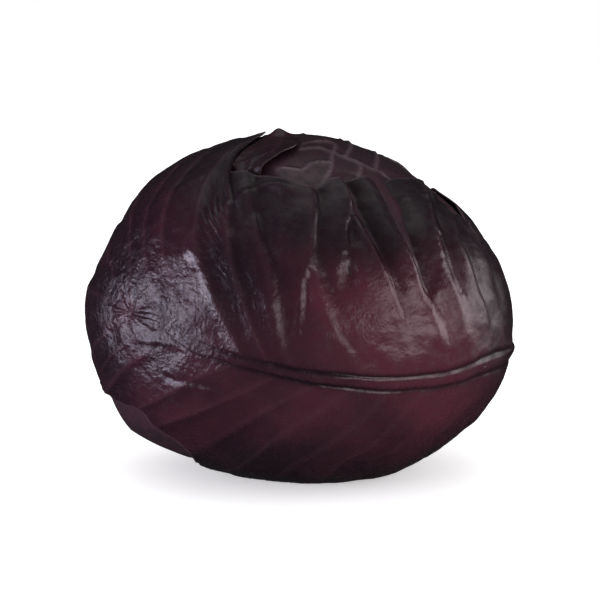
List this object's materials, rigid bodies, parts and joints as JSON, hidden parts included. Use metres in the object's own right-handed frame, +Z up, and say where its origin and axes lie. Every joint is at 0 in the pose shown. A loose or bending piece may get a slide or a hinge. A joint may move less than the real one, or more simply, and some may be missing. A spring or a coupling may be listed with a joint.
{
  "type": "red cabbage head",
  "caption": "Whole red cabbage head lying on its side: a large front leaf with its midrib, a back leaf, a torn flap, packed inner leaves and a cut stem end",
  "frame": {"origin": "Middle of the head's outer box, on the surface it lies on", "axes": "+X runs from the crown end towards the stem end and is the longest extent, +Y points away from the viewer, +Z is up"},
  "size_m": [0.1758, 0.1508, 0.1399],
  "materials": {
    "leaf": "satin",
    "inner_leaf": "satin",
    "cut_stem": "matte"
  },
  "bodies": {
    "root": {"front_leaf": "leaf", "back_leaf": "leaf", "torn_flap": "inner_leaf", "inner_head": "inner_leaf", "stem_stump": "cut_stem"}
  },
  "joints": []
}
